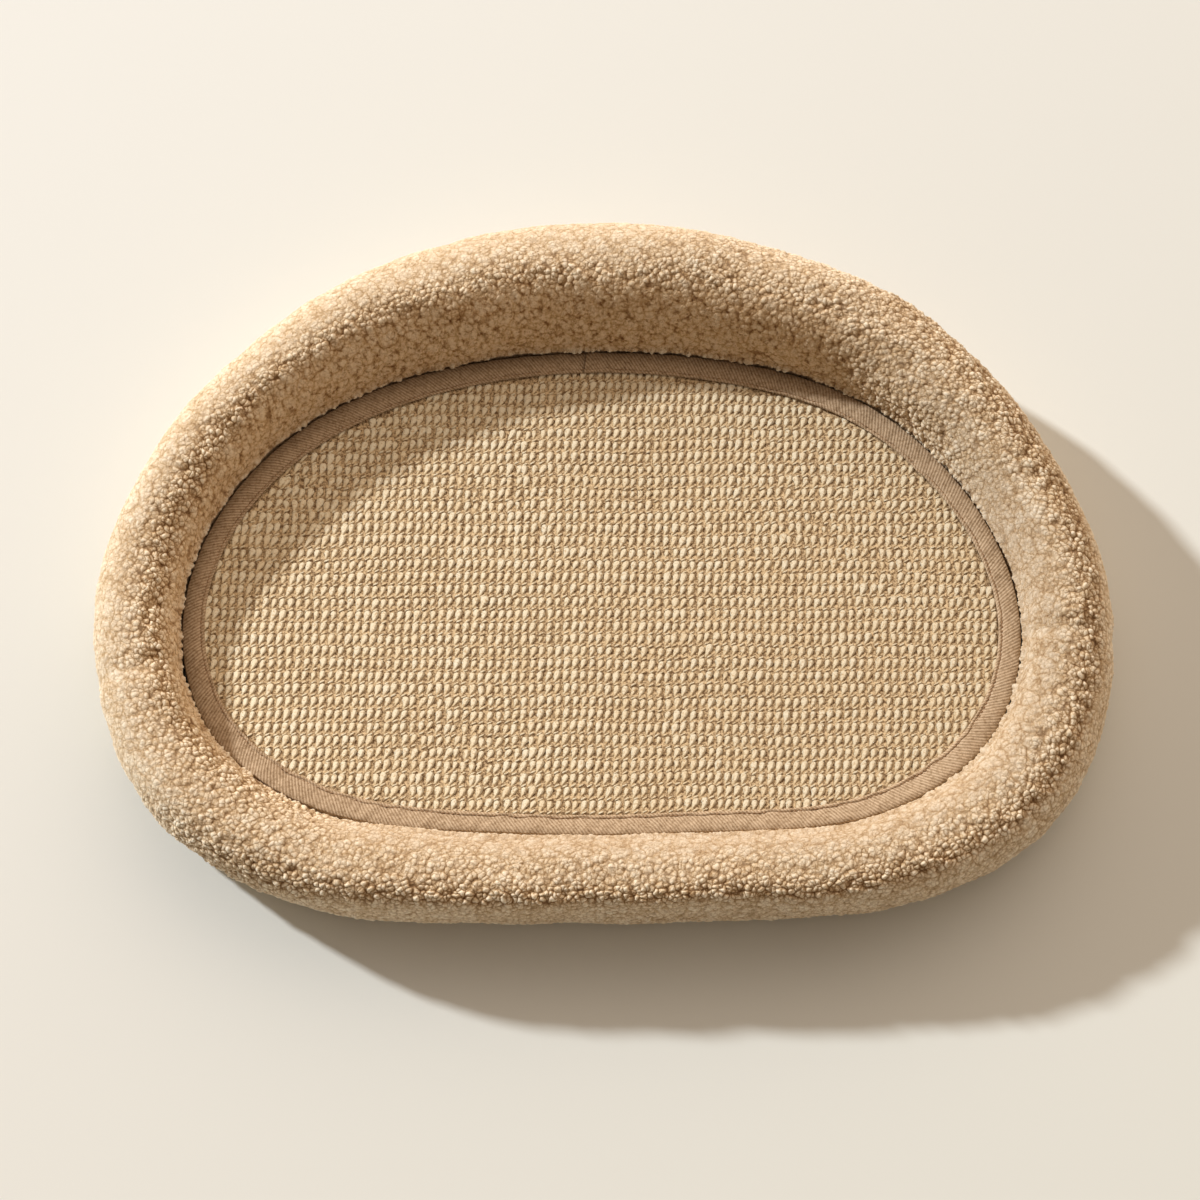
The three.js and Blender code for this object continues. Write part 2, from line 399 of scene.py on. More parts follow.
# Fleece colours. A ramp is a list of places from 0 to 1, each with its colour.
# Painted shade in the dips of the pile: where tufts and clumps are low, it is painted darker
PILE_BY_HEIGHT = [
    (0.0, linear(230, 207, 171)),
    (0.5, linear(252, 238, 213)),
    (0.95, linear(255, 246, 226)),
]
# Painted light falloff: the fleece is painted darker towards the right, away from the light
FLEECE_TO_RIGHT = (1.6, 0.0, 0.0)
FLEECE_LIGHT_FALLOFF = [(0.05, WHITE), (0.95, grey(0.88))]
FLEECE_PATCH_SCALE = 38
FLEECE_PATCHES = [(0.3, BLACK), (0.7, grey(0.35))]
FLEECE_PATCH_COLOUR = linear(230, 209, 176)
# Painted shade: the brushed pile on the shaded inside walls is tinted darker and browner
SHADED_WALL_COLOUR = linear(212, 173, 117)
SHADED_WALL_COLOUR_SHARE = 0.43
# Painted shade on the side that faces the light: there the pile is painted darker
LIT_SIDE_DIMMING = (0.71, 0.665, 0.63)
# Painted highlight: the tips of the brushed pile that reach over the binding are painted paler
FRINGE_TIP_HIGHLIGHT = linear(255, 250, 236)
# Painted shade where the pile dips: pits, creases, holes and partings are painted darker
PIT_SHADE = [(0.5, WHITE), (0.68, (0.84, 0.77, 0.68)), (0.88, (0.46, 0.36, 0.26))]
CREASE_SHADE = [(0.0, (0.42, 0.33, 0.24)), (0.08, (0.71, 0.62, 0.51)), (0.19, WHITE)]
# Where the pile faces the light, and on the shaded outside, the painted shade of pits and creases
# fades by these shares
NAP_HIDES_PITS = 0.7
NAP_HIDES_CREASES = 0.8
HOLE_SCALE = 330
HOLE_SHADE = [(0.32, (0.55, 0.44, 0.33)), (0.44, WHITE)]
PARTING_SHADE = [(0.0, (0.76, 0.68, 0.57)), (0.05, WHITE)]
SPECK_SCALE = 560
FLEECE_SPECKS = [(0.38, (0.72, 0.65, 0.56)), (0.5, (0.95, 0.94, 0.92)), (0.58, WHITE)]
TUFT_DOME = [(0.0, BLACK), (0.12, grey(0.7)), (0.3, WHITE)]
NAP_EASES = 0.65
BRUSHED_EASES = 0.7
FIBRE_SCALE = 700
FLEECE_BUMP = 0.0003
SHEEN_COLOUR = linear(250, 236, 214)


def fleece_material():
    """Curly teddy fleece: round pale tufts with dark narrow creases between them, the dark painted
    shade.
    """
    nodes = new_material("fleece")
    base = nodes.place_named("base")
    edge, middle = add_cells(nodes.tree, base, TUFTS)
    parting, _ = add_cells(nodes.tree, base, CLUMPS)
    brushed_in_shade = nodes.value("brushed_in_shade")
    nap_by_light = nodes.value("nap_by_light")

    # Painted shade: the pile is darker where it is low
    colour = nodes.ramp(nodes.value("height"), PILE_BY_HEIGHT)
    # Painted light falloff towards the right
    colour = nodes.times(colour, nodes.ramp(nodes.along(FLEECE_TO_RIGHT), FLEECE_LIGHT_FALLOFF))
    patches = nodes.ramp(nodes.noise(FLEECE_PATCH_SCALE, detail=3), FLEECE_PATCHES)
    colour = nodes.mix(patches, colour, FLEECE_PATCH_COLOUR)
    # Painted shade on the shaded inside walls
    tinted = nodes.math("MULTIPLY", brushed_in_shade, SHADED_WALL_COLOUR_SHARE)
    colour = nodes.mix(tinted, colour, SHADED_WALL_COLOUR)
    # Painted shade where the pile faces the light
    colour = nodes.times(colour, nodes.mix(nodes.value("lit_side_dimming"), WHITE, LIT_SIDE_DIMMING))
    # Painted highlight on the fringe tips
    colour = nodes.mix(nodes.value("tip"), colour, FRINGE_TIP_HIGHLIGHT)

    # Painted shade in the pile's dips
    pit = nodes.ramp(middle, PIT_SHADE)
    pit = nodes.mix(nodes.math("MULTIPLY", nap_by_light, NAP_HIDES_PITS), pit, WHITE)
    crease = nodes.ramp(edge, CREASE_SHADE)
    crease = nodes.mix(nodes.math("MULTIPLY", nap_by_light, NAP_HIDES_CREASES), crease, WHITE)
    hole = nodes.ramp(nodes.noise(HOLE_SCALE, detail=2, roughness=0.6), HOLE_SHADE)
    crease = nodes.mix(brushed_in_shade, crease, hole)
    crease = nodes.times(crease, nodes.ramp(parting, PARTING_SHADE))
    speck = nodes.ramp(nodes.noise(SPECK_SCALE, detail=3, roughness=0.8), FLEECE_SPECKS)
    colour = nodes.times(nodes.times(nodes.times(colour, pit), crease), speck)

    nap_eases = nodes.math("MULTIPLY", nap_by_light, NAP_EASES)
    brushed_eases = nodes.math("MULTIPLY", brushed_in_shade, BRUSHED_EASES)
    ease = nodes.math("MAXIMUM", nap_eases, brushed_eases)
    normal = nodes.eased_normal(ease, nodes.place_named("lie"))
    normal = nodes.bump(nodes.ramp(edge, TUFT_DOME), FLEECE_BUMP, strength=0.6, under=normal)
    fibres = nodes.noise(FIBRE_SCALE, detail=2, roughness=0.6)
    normal = nodes.bump(fibres, FLEECE_BUMP, strength=0.4, under=normal)
    return nodes.finished(
        Base_Color=colour, Roughness=0.95, Specular_IOR_Level=0.15, Normal=normal,
        Sheen_Weight=0.3, Sheen_Roughness=0.6, Sheen_Tint=(*SHEEN_COLOUR, 1),
        Subsurface_Weight=0.15, Subsurface_Scale=0.003, Subsurface_Radius=(1.0, 0.85, 0.65),
    )


WEAVE_SCALE = 900
CLOTH_PATCH_SCALE = 60
CLOTH_BUMP = 0.0003
CLOTH_COLOURS = [(0.3, linear(186, 158, 122)), (0.7, linear(204, 178, 142))]


def cloth_material():
    """Plain woven cloth, for the pad that the mat hides."""
    nodes = new_material("pad_cloth")
    weave = nodes.add("ShaderNodeTexChecker")
    nodes.put(WEAVE_SCALE, weave.inputs["Scale"])
    nodes.put(nodes.object_place(), weave.inputs["Vector"])
    colour = nodes.ramp(nodes.noise(CLOTH_PATCH_SCALE, detail=4), CLOTH_COLOURS)
    normal = nodes.bump(weave.outputs["Fac"], CLOTH_BUMP, strength=0.5)
    return nodes.finished(Base_Color=colour, Roughness=0.9, Normal=normal)


# Sisal colours. The depth ramp runs from 1 mm below the mat's top, at 0, to its top, at 1.
YARN_BY_TONE = [
    (0.0, linear(246, 226, 188)),
    (0.5, linear(255, 245, 217)),
    (1.0, linear(255, 250, 228)),
]
YARN_PATCH_SCALE = 14
YARN_PATCHES = [(0.35, BLACK), (0.75, grey(0.2))]
YARN_PATCH_COLOUR = linear(226, 198, 154)
YARN_FIBRE_SCALE = 540
YARN_FLECKS = [(0.37, grey(0.85)), (0.47, BLACK)]
YARN_FLECK_COLOUR = linear(214, 185, 140)
# Painted shade: the yarn is painted darker and browner low down, between the loops
YARN_SHADE_BY_DEPTH = [(0.0, (0.54, 0.43, 0.30)), (0.45, (0.90, 0.83, 0.72)), (0.75, WHITE)]
# Painted light falloff: the yarn is painted darker towards the right, away from the light
YARN_TO_RIGHT = (1.8, 0.0, 0.0)
YARN_LIGHT_FALLOFF = [(0.05, WHITE), (0.95, (0.84, 0.82, 0.80))]
YARN_EASE = 0.85
YARN_BUMP = 0.0005


def sisal_material():
    """Dry jute-coloured yarn: each loop has its own tone, with fine fibres."""
    nodes = new_material("sisal")
    fibres = nodes.noise(YARN_FIBRE_SCALE, detail=3, roughness=0.8)
    colour = nodes.ramp(nodes.value("tone"), YARN_BY_TONE)
    patches = nodes.ramp(nodes.noise(YARN_PATCH_SCALE, detail=3), YARN_PATCHES)
    colour = nodes.mix(patches, colour, YARN_PATCH_COLOUR)
    colour = nodes.mix(nodes.ramp(fibres, YARN_FLECKS), colour, YARN_FLECK_COLOUR)
    # Painted shade low down on the yarn
    depth = nodes.along((0.0, 0.0, 1 / MM), start=1 - mat_high)
    colour = nodes.times(colour, nodes.ramp(depth, YARN_SHADE_BY_DEPTH))
    # Painted light falloff towards the right
    colour = nodes.times(colour, nodes.ramp(nodes.along(YARN_TO_RIGHT), YARN_LIGHT_FALLOFF))
    normal = nodes.eased_normal(YARN_EASE, (0.0, 0.0, 1.0))
    normal = nodes.bump(fibres, YARN_BUMP, strength=0.6, under=normal)
    return nodes.finished(
        Base_Color=colour, Roughness=0.8, Specular_IOR_Level=0.25, Normal=normal,
    )


GROUND_FIBRE_SCALE = 520
# The dark end is partly painted shade for the holes between the loops
GROUND_COLOURS = [(0.4, linear(112, 84, 52)), (0.6, linear(226, 200, 158))]


def ground_material():
    """The mottled woven ground that shows between the loops, its dark mottling partly painted shade
    in the holes.
    """
    nodes = new_material("sisal_ground")
    fibres = nodes.noise(GROUND_FIBRE_SCALE, detail=3, roughness=0.8)
    colour = nodes.ramp(fibres, GROUND_COLOURS)
    normal = nodes.bump(fibres, YARN_BUMP, strength=0.6)
    return nodes.finished(Base_Color=colour, Roughness=0.9, Normal=normal)


# Tape colours, and the twill's pitch in millimetres and its slant
TWILL_PITCH = 1.6
TWILL_ALONG = 0.77
TWILL_ACROSS = 0.64
TWILL_RIDGES = [
    (0.0, linear(160, 136, 108)),
    (0.5, linear(190, 166, 137)),
    (1.0, linear(206, 185, 157)),
]
TAPE_PATCH_SCALE = 60
TAPE_PATCHES = [(0.35, BLACK), (0.7, grey(0.3))]
TAPE_PATCH_COLOUR = linear(188, 163, 134)
TAPE_SPECKS = [(0.38, (0.64, 0.59, 0.52)), (0.54, WHITE)]
# Painted shade on the tape: along its outer edge at the back and left, and at its cut end
TAPE_PAINTED_SHADE = [(0.0, WHITE), (1.0, (0.35, 0.32, 0.28))]
TWILL_BUMP = 0.0002
TAPE_FIBRE_SCALE = 2500
TAPE_FIBRE_BUMP = 0.0003


def tape_material():
    """Bias tape with fine slanted twill ridges."""
    nodes = new_material("twill_tape")
    along = nodes.math("MULTIPLY", nodes.value("along"), TWILL_ALONG)
    across = nodes.math("MULTIPLY", nodes.value("across"), TWILL_ACROSS)
    slope = nodes.math("ADD", along, across)
    wave = nodes.math("SINE", nodes.math("MULTIPLY", slope, TAU / TWILL_PITCH))
    ridge = nodes.math("ADD", nodes.math("MULTIPLY", wave, 0.5), 0.5)
    colour = nodes.ramp(ridge, TWILL_RIDGES)
    patches = nodes.ramp(nodes.noise(TAPE_PATCH_SCALE, detail=3), TAPE_PATCHES)
    colour = nodes.mix(patches, colour, TAPE_PATCH_COLOUR)
    speck = nodes.ramp(nodes.noise(SPECK_SCALE, detail=3, roughness=0.8), TAPE_SPECKS)
    colour = nodes.times(colour, speck)
    # Painted shade on the tape
    colour = nodes.times(colour, nodes.ramp(nodes.value("painted_tape_shade"), TAPE_PAINTED_SHADE))
    normal = nodes.bump(ridge, TWILL_BUMP, strength=0.6)
    fibres = nodes.noise(TAPE_FIBRE_SCALE, detail=3, roughness=0.6)
    normal = nodes.bump(fibres, TAPE_FIBRE_BUMP, strength=0.4, under=normal)
    return nodes.finished(
        Base_Color=colour, Roughness=0.85, Specular_IOR_Level=0.2, Normal=normal,
    )


THREAD_SCALE = 900
THREAD_COLOURS = [(0.3, linear(140, 106, 74)), (0.7, linear(170, 134, 98))]


def thread_material():
    nodes = new_material("thread")
    colour = nodes.ramp(nodes.noise(THREAD_SCALE, detail=2), THREAD_COLOURS)
    return nodes.finished(Base_Color=colour, Roughness=0.8)


# Painted light falloff: the floor is lighter towards the back left
FLOOR_TO_BACK_LEFT = (-0.5, 0.55, 0.0)
FLOOR_COLOURS = [
    (0.0, (0.70, 0.735, 0.70)),
    (0.5, (0.775, 0.81, 0.79)),
    (1.0, (0.87, 0.92, 0.92)),
]


def floor_material():
    """A pale matt floor, painted a little lighter towards the back left as a falloff of the light.
    """
    nodes = new_material("floor")
    colour = nodes.ramp(nodes.along(FLOOR_TO_BACK_LEFT), FLOOR_COLOURS)
    return nodes.finished(Base_Color=colour, Roughness=0.9, Specular_IOR_Level=0.1)


# Fleece bolster

# Heights that the pile's parts add, in millimetres
TUFT_RISE = 1.5
CLUMP_RISE = 0.65
DRIFT = Bumps(0.35, 34, 10, 21)
CURL = Bumps(0.3, 9, 14, 22)
CALM_RISE = 0.5
BRUSHED_RISE = 0.4
PILE_DEPTH = 1.45
PILE_FROM_FLOOR = 0.4
PILE_RUN = 3

# Shapes of one tuft and one clump: their edges are rounded over this share of a cell
EDGE_SHARE = 0.3
TUFT_AT_EDGE = 0.4
CLUMP_DOME = 0.5
TUFT_PALES = 0.4
BRUSHED_KEEPS = 0.5

# The pile lies flat where it faces this way, towards the light, and is calmer on the shaded outside
NAP_TOWARDS_LIGHT = np.array([-0.77, 0.50, 0.40])
NAP_START = 0.15
NAP_RUN = 0.5
NAP_FLATTENS = 0.5
SHADE_CALM = 0.7
SHADE_START = 0.05
SHADE_RUN = 0.35
# Share of the painted darkening of the light-facing side that the outside keeps
OUTSIDE_DIMMING = 0.45
OUTSIDE_START = 0.2
OUTSIDE_RUN = 0.4
INSIDE_START = 0.3

# Tips that reach over the binding, and the dark slot under them
SLOT_DEPTH = 0.25
SLOT_UP = 1.2
SLOT_RUN = 1.4
FRINGE = 2.6
TIP_RISE = 2.2
BRUSHED_TIP_RISE = 0.9
RECESS_FILL = 0.85
TIP_UP = 2.1
TIP_HALF = 1.9
BRIM_RISE = 2.5
BRIM_UP = 4.0
BRIM_HALF = 4
FRONT_FROM = 120
FRONT_RUN = 30
LEFT_FROM = 170
LEFT_RUN = 50
LEFT_SHORTER = 0.3
TIP_LEAST = 0.3
TIP_BY_CELLS = 0.35

# Where the pile is brushed flat on the shaded insides, in shares of a turn, and how far in from the
# top it starts
BRUSHED_FROM = 0.08
BRUSHED_TO = 0.62
BRUSHED_FADE = 0.08
IN_AT_BACK = 0.1
IN_MORE_AT_LEFT = 0.4
LEFT_START = 0.38
LEFT_FADE = 0.1
IN_RUN = 0.5

RING_COLUMNS = 1640
SHOWN_AROUND = 170
HIDDEN_AROUND = 12
SHOWN_TURNS = (math.radians(-60), math.radians(196))
ARC_NAMES = ("fleece_back_right", "fleece_back_left", "fleece_front_left", "fleece_front_right")
ARC_STARTS = (SLEEVE_JOINS[0] - 1, 0.27, SLEEVE_JOINS[1], 0.75)


def surface(share, turn):
    """Points of the bolster's smooth surface and its normals there."""
    def point(share, turn):
        at = stations(share)
        return placed(at, *bolster_section(at, turn))

    small_share, small_turn = 2e-4, 4e-3
    along = point(share + small_share, turn) - point(share - small_share, turn)
    around = point(share, turn + small_turn) - point(share, turn - small_turn)
    normal = np.cross(along, around)
    normal /= np.maximum(np.linalg.norm(normal, axis=-1, keepdims=True), 1e-9)
    return point(share, turn), normal


def cell_distances(grid, cells):
    """For each point the distance to the nearest crease and to its cell's middle, in cells."""
    points = grid.reshape(-1, 3)
    probe = bpy.data.meshes.new("probe")
    probe.vertices.add(len(points))
    probe.vertices.foreach_set("co", ((points - ORIGIN) * MM).astype(np.float32).ravel())
    holder = bpy.data.objects.new("probe", probe)
    bpy.context.scene.collection.objects.link(holder)
    tree = bpy.data.node_groups.new("cells", "GeometryNodeTree")
    for way in ("INPUT", "OUTPUT"):
        tree.interface.new_socket("Geometry", in_out=way, socket_type="NodeSocketGeometry")
    geometry = tree.nodes.new("NodeGroupInput").outputs[0]
    place = tree.nodes.new("GeometryNodeInputPosition").outputs[0]
    names = ("edge", "middle")
    for name, socket in zip(names, add_cells(tree, place, cells)):
        store = tree.nodes.new("GeometryNodeStoreNamedAttribute")
        store.inputs["Name"].default_value = name
        tree.links.new(geometry, store.inputs["Geometry"])
        tree.links.new(socket, store.inputs["Value"])
        geometry = store.outputs["Geometry"]
    tree.links.new(geometry, tree.nodes.new("NodeGroupOutput").inputs[0])
    holder.modifiers.new("cells", "NODES").node_group = tree
    shown = holder.evaluated_get(bpy.context.evaluated_depsgraph_get()).data
    found = []
    for name in names:
        values = np.empty(len(points), np.float32)
        shown.attributes[name].data.foreach_get("value", values)
        found.append(values.astype(float).reshape(grid.shape[:-1]))
    bpy.data.objects.remove(holder)
    bpy.data.meshes.remove(probe)
    bpy.data.node_groups.remove(tree)
    return found


def smooth_step(value):
    value = np.clip(value, 0, 1)
    return value * value * (3 - 2 * value)


def front_share(y):
    """1 along the bed's low front, 0 elsewhere, with a soft change between."""
    return smooth_step((-y - FRONT_FROM) / FRONT_RUN)


def bolster_turns():
    """Angles round a section, close together where the fleece shows and far apart below."""
    first, last = SHOWN_TURNS
    shown = np.linspace(first, last, SHOWN_AROUND)
    hidden = np.linspace(last, first + TAU, HIDDEN_AROUND + 2)[1:-1]
    return np.concatenate([shown, hidden])


def brushed_share(share, turn):
    """How far the pile is brushed flat: on the inside of the back and of the left end, which lie in
    shade.
    """
    along = smooth_step((share - BRUSHED_FROM) / BRUSHED_FADE)
    along = along * smooth_step((BRUSHED_TO - share) / BRUSHED_FADE)
    start = IN_AT_BACK + IN_MORE_AT_LEFT * smooth_step((share - LEFT_START) / LEFT_FADE)
    return along * smooth_step((-np.cos(turn) - start) / IN_RUN)


def make_fleece():
    """The fleece's points, its smooth ground and normals, and what the material reads there."""
    shares = np.arange(RING_COLUMNS) / RING_COLUMNS
    share, turn = np.meshgrid(shares, bolster_turns(), indexing="ij")
    smooth, normal = surface(share, turn)
    edge, middle = cell_distances(smooth, TUFTS)
    tuft = (1 - middle ** 2) * (TUFT_AT_EDGE + (1 - TUFT_AT_EDGE) * smooth_step(edge / EDGE_SHARE))
    edge, middle = cell_distances(smooth, CLUMPS)
    clump = (1 - CLUMP_DOME * middle ** 2) * smooth_step(edge / EDGE_SHARE)

    brushed_in_shade = brushed_share(share, turn)
    facing = normal @ NAP_TOWARDS_LIGHT
    nap_by_light = smooth_step((facing - NAP_START) / NAP_RUN)
    outside = smooth_step((np.cos(turn) + OUTSIDE_START) / OUTSIDE_RUN)
    shaded = outside * smooth_step((-SHADE_START - facing) / SHADE_RUN)
    calm = np.maximum(nap_by_light, SHADE_CALM * shaded)
    curl = soft_bumps(smooth, CURL) * (1 - calm)
    rise = (TUFT_RISE * tuft + CLUMP_RISE * clump) * (1 - NAP_FLATTENS * calm)
    rise += CALM_RISE * calm + curl
    height = rise * (1 - (1 - BRUSHED_KEEPS) * brushed_in_shade) + BRUSHED_RISE * brushed_in_shade
    height += soft_bumps(smooth, DRIFT)

    above = smooth[..., 2] - binding_high
    inner = np.cos(turn) < 0
    slot = SLOT_DEPTH * smooth_step((SLOT_UP + FRINGE * (0.5 - tuft) - above) / SLOT_RUN)
    at_front = front_share(smooth[..., 1])
    brim = BRIM_RISE * at_front * smooth_step(1 - np.abs((above - BRIM_UP) / BRIM_HALF))
    at = stations(share)
    full = 1 - LEFT_SHORTER * smooth_step((-smooth[..., 0] - LEFT_FROM) / LEFT_RUN)
    recess = np.maximum(at.half_width + bolster_section(at, turn)[0], 0) * RECESS_FILL * full
    window = inner * smooth_step(1 - np.abs((above - TIP_UP) / TIP_HALF)) * (1 - at_front)
    tip = (TIP_LEAST + TIP_BY_CELLS * tuft + TIP_BY_CELLS * clump) * window
    tip_rise = (TIP_RISE + BRUSHED_TIP_RISE * brushed_in_shade) * full
    push = height - PILE_DEPTH + inner * (brim - slot) + (recess - curl) * window + tip_rise * tip
    free = np.clip((smooth[..., 2] - PILE_FROM_FLOOR) / PILE_RUN, 0, 1)
    points = smooth + normal * (push * free)[..., None]
    points[..., 2] = np.maximum(points[..., 2], 0)

    # Painted shade on the side that faces the light, fuller on the inside of the ring
    inside = smooth_step(INSIDE_START - np.cos(turn))
    lit_side_dimming = nap_by_light ** 2 * (OUTSIDE_DIMMING + (1 - OUTSIDE_DIMMING) * inside)
    looks = {
        "height": TUFT_PALES * tuft + (1 - TUFT_PALES) * clump,
        "brushed_in_shade": brushed_in_shade,
        "lit_side_dimming": lit_side_dimming * (1 - brushed_in_shade),
        "nap_by_light": calm,
        # Painted highlight on the tips that hang over the binding
        "tip": tip * tuft * brushed_in_shade,
    }
    return points, smooth, normal, looks


def add_bolster(material):
    points, base, lie, looks = make_fleece()
    around = points.shape[1]
    pieces = []
    ends = (*ARC_STARTS[1:], ARC_STARTS[0] + 1)
    for arc_name, start, end in zip(ARC_NAMES, ARC_STARTS, ends):
        first = round(start * RING_COLUMNS)
        last = round(end * RING_COLUMNS)
        picked = np.arange(first, last + 1) % RING_COLUMNS
        faces = grid_faces(len(picked), around, wrap_columns=True)
        piece = new_piece(arc_name, points[picked].reshape(-1, 3), faces, material)
        add_values(piece, "base", (base[picked] - ORIGIN) * MM, "FLOAT_VECTOR")
        add_values(piece, "lie", lie[picked], "FLOAT_VECTOR")
        for name, values in looks.items():
            add_values(piece, name, values[picked])
        pieces.append(piece)
    return pieces


# Outlines inside the ring

def inner_loop(inset, up=0.0, steps=180):
    """A closed line this far inside the bolster's inner side, and this far up."""
    at = stations(np.arange(steps) / steps)
    return placed(at, -(at.half_width + PIECE_GAP + inset), up)


def tape_edge(steps=720):
    """The closed line where the binding's inner edge lies on the mat."""
    at = stations(np.arange(steps) / steps)
    return placed(at, -(at.half_width + PIECE_GAP + at.tape), 0)


def run_along(line):
    """How far each point of a line lies from its start, along the line."""
    steps = np.linalg.norm(np.diff(line, axis=0), axis=-1)
    return np.concatenate([[0], steps.cumsum()])


def side_lines(loop):
    """The left and the right side of a closed line, each from its front to its back."""
    front, back = loop[:, 1].argmin(), loop[:, 1].argmax()
    right = np.arange(front, back + 1 if back > front else back + 1 + len(loop)) % len(loop)
    left = np.arange(back, front + 1 if front > back else front + 1 + len(loop)) % len(loop)
    return loop[left][::-1], loop[right]


def in_threes(faces):
    return np.concatenate([faces[:, [0, 1, 2]], faces[:, [0, 2, 3]]])


# Sisal mat

COLUMN_PITCH = 4.8
ROW_PITCH = 7.75
MOST_COLUMNS = 60
MOST_ROWS = 30
ROW_SHIFT = 0.12
ROW_SHIFT_TURN = 1.7
LEAST_UNEVEN = 0.3
USUAL_UNEVEN = 0.75
MOST_UNEVEN = 1.6
MAT_UNEVEN = Bumps(0.5, 160, 8, 41)
Stray = namedtuple("Stray", "chance drift")
STRAY_X = Stray(0.3, Bumps(0.4, 60, 8, 42))
STRAY_Y = Stray(0.28, Bumps(0.45, 70, 8, 43))
FRONT_MARGIN = 1.2
BACK_MARGIN = 0.5
UNDER_TAPE = 0.6
LOOP_SIDES = 6
Ring = namedtuple("Ring", "along side down wide deep")
LOOP_FOOT = Ring(-4.2, -2.3, 1.2, 0, 0)
LOOP_RINGS = [
    Ring(-3.6, -1.8, 0.7, 0.75, 0.3),
    Ring(-2.6, -1.2, 0.45, 0.9, 0.35),
    Ring(-1.4, -0.6, 0.25, 1.2, 0.38),
    Ring(-0.3, -0.15, 0.1, 1.75, 0.42),
    Ring(1.2, 0.1, 0.05, 2.0, 0.45),
    Ring(2.6, 0.2, 0.1, 1.6, 0.42),
]
LOOP_HEAD = Ring(3.4, 0.2, 0.5, 0, 0)
LOOP_SPREAD = 0.11
LOOP_DROP = 0.07
SIZE_SPREAD = 0.09
LEAN_SPREAD = 0.09
LOOP_TONE = (0.6, 0.15)
STRAND_TONE = (0.5, 0.2)
STRAND_SIDES = 5
STRAND_HALF = 1.9
STRAND_RISE = 0.85
STRAND_THICK = 0.68
STRAND_DOWN = 0.8
RISE_SPREAD = 0.12
THICK_SPREAD = 0.08
Ends = namedtuple("Ends", "along thick")
STRAND_RINGS = [Ends(-1.25, 0), Ends(-0.55, 1), Ends(0.55, 1), Ends(1.25, 0)]
HOLLOW_DOWN = 1.25
Level = namedtuple("Level", "along down")
GROUND_LEVELS = [
    Level(-3.875, 0.6), Level(-3.1, 0.7), Level(-1.2, 0.85), Level(1.6, 0.85), Level(3.1, 0.7),
]
GROUND_ACROSS = 30
GROUND_MARGIN = 0.4
MAT_EDGE = 2.2


def loop_centres():
    """Middles of the mat's loops that show inside the tape."""
    left, right = side_lines(tape_edge())
    columns = np.arange(-MOST_COLUMNS, MOST_COLUMNS + 1)
    rows = np.arange(-MOST_ROWS, MOST_ROWS + 1)
    col, row = (part.ravel() for part in np.meshgrid(columns, rows))
    dice = np.random.default_rng(7)
    x = (col + ROW_SHIFT * np.sin(ROW_SHIFT_TURN * row)) * COLUMN_PITCH
    y = row * ROW_PITCH
    flat = np.stack([x, y, 0 * x], -1)
    uneven = np.clip(USUAL_UNEVEN + soft_bumps(flat, MAT_UNEVEN), LEAST_UNEVEN, MOST_UNEVEN)
    x = x + uneven * dice.normal(0, STRAY_X.chance, len(x)) + soft_bumps(flat, STRAY_X.drift)
    y = y + uneven * dice.normal(0, STRAY_Y.chance, len(x)) + soft_bumps(flat, STRAY_Y.drift)
    inside = (y > left[0, 1] + FRONT_MARGIN) & (y < left[-1, 1] - BACK_MARGIN)
    inside &= x > np.interp(y, left[:, 1], left[:, 0]) - UNDER_TAPE
    inside &= x < np.interp(y, right[:, 1], right[:, 0]) + UNDER_TAPE
    return np.stack([x, y], -1)[inside], uneven[inside]


def ring_points(centres, ring, size, lean, dice):
    """The points of one ring of every loop."""
    count = len(centres)
    middle = np.stack([
        centres[:, 0] + ring.side * size + lean * ring.along,
        centres[:, 1] + ring.along * size,
        mat_high - ring.down - ring.deep + 0 * size,
    ], -1)[:, None]
    if not ring.wide:
        return middle
    spin = TAU * (np.arange(LOOP_SIDES) + 0.5) / LOOP_SIDES
    lumpy = dice.normal(1, LOOP_SPREAD, (count, LOOP_SIDES)) * size[:, None]
    across = np.cos(spin) * ring.wide * lumpy
    return middle + np.stack([across, 0 * across, np.sin(spin) * ring.deep * lumpy], -1)


def tube_faces(rings, sides):
    """Faces of a tube with a pointed end at each end."""
    last = 1 + rings * sides
    faces = []
    for step in range(sides):
        after = (step + 1) % sides
        faces.append((0, 1 + step, 1 + after))
        for ring in range(rings - 1):
            here, there = 1 + ring * sides, 1 + (ring + 1) * sides
            faces.append((here + step, there + after, here + after))
            faces.append((here + step, there + step, there + after))
        faces.append((last - sides + step, last, last - sides + after))
    return np.array(faces)


def strand_points(centres, dice):
    """A short slanted strand of the thread that lies between two rows, for every loop."""
    count = len(centres)
    spin = TAU * (np.arange(STRAND_SIDES) + 0.25) / STRAND_SIDES
    rise = STRAND_RISE + dice.normal(0, RISE_SPREAD, count)
    thick = STRAND_THICK * dice.normal(1, THICK_SPREAD, count)
    parts = []
    for ring in STRAND_RINGS:
        middle = np.stack([
            centres[:, 0] + STRAND_HALF * ring.along,
            centres[:, 1] - ROW_PITCH / 2 + rise * ring.along,
            mat_high - STRAND_DOWN - thick * (1 - ring.thick),
        ], -1)[:, None]
        if ring.thick:
            up = np.sin(spin) * thick[:, None]
            middle = middle + np.stack([0 * up, np.cos(spin) * thick[:, None], up], -1)
        parts.append(middle)
    return np.concatenate(parts, 1)


def repeated(faces, count, per_item, first):
    return (faces[None] + per_item * np.arange(count)[:, None, None]).reshape(-1, 3) + first


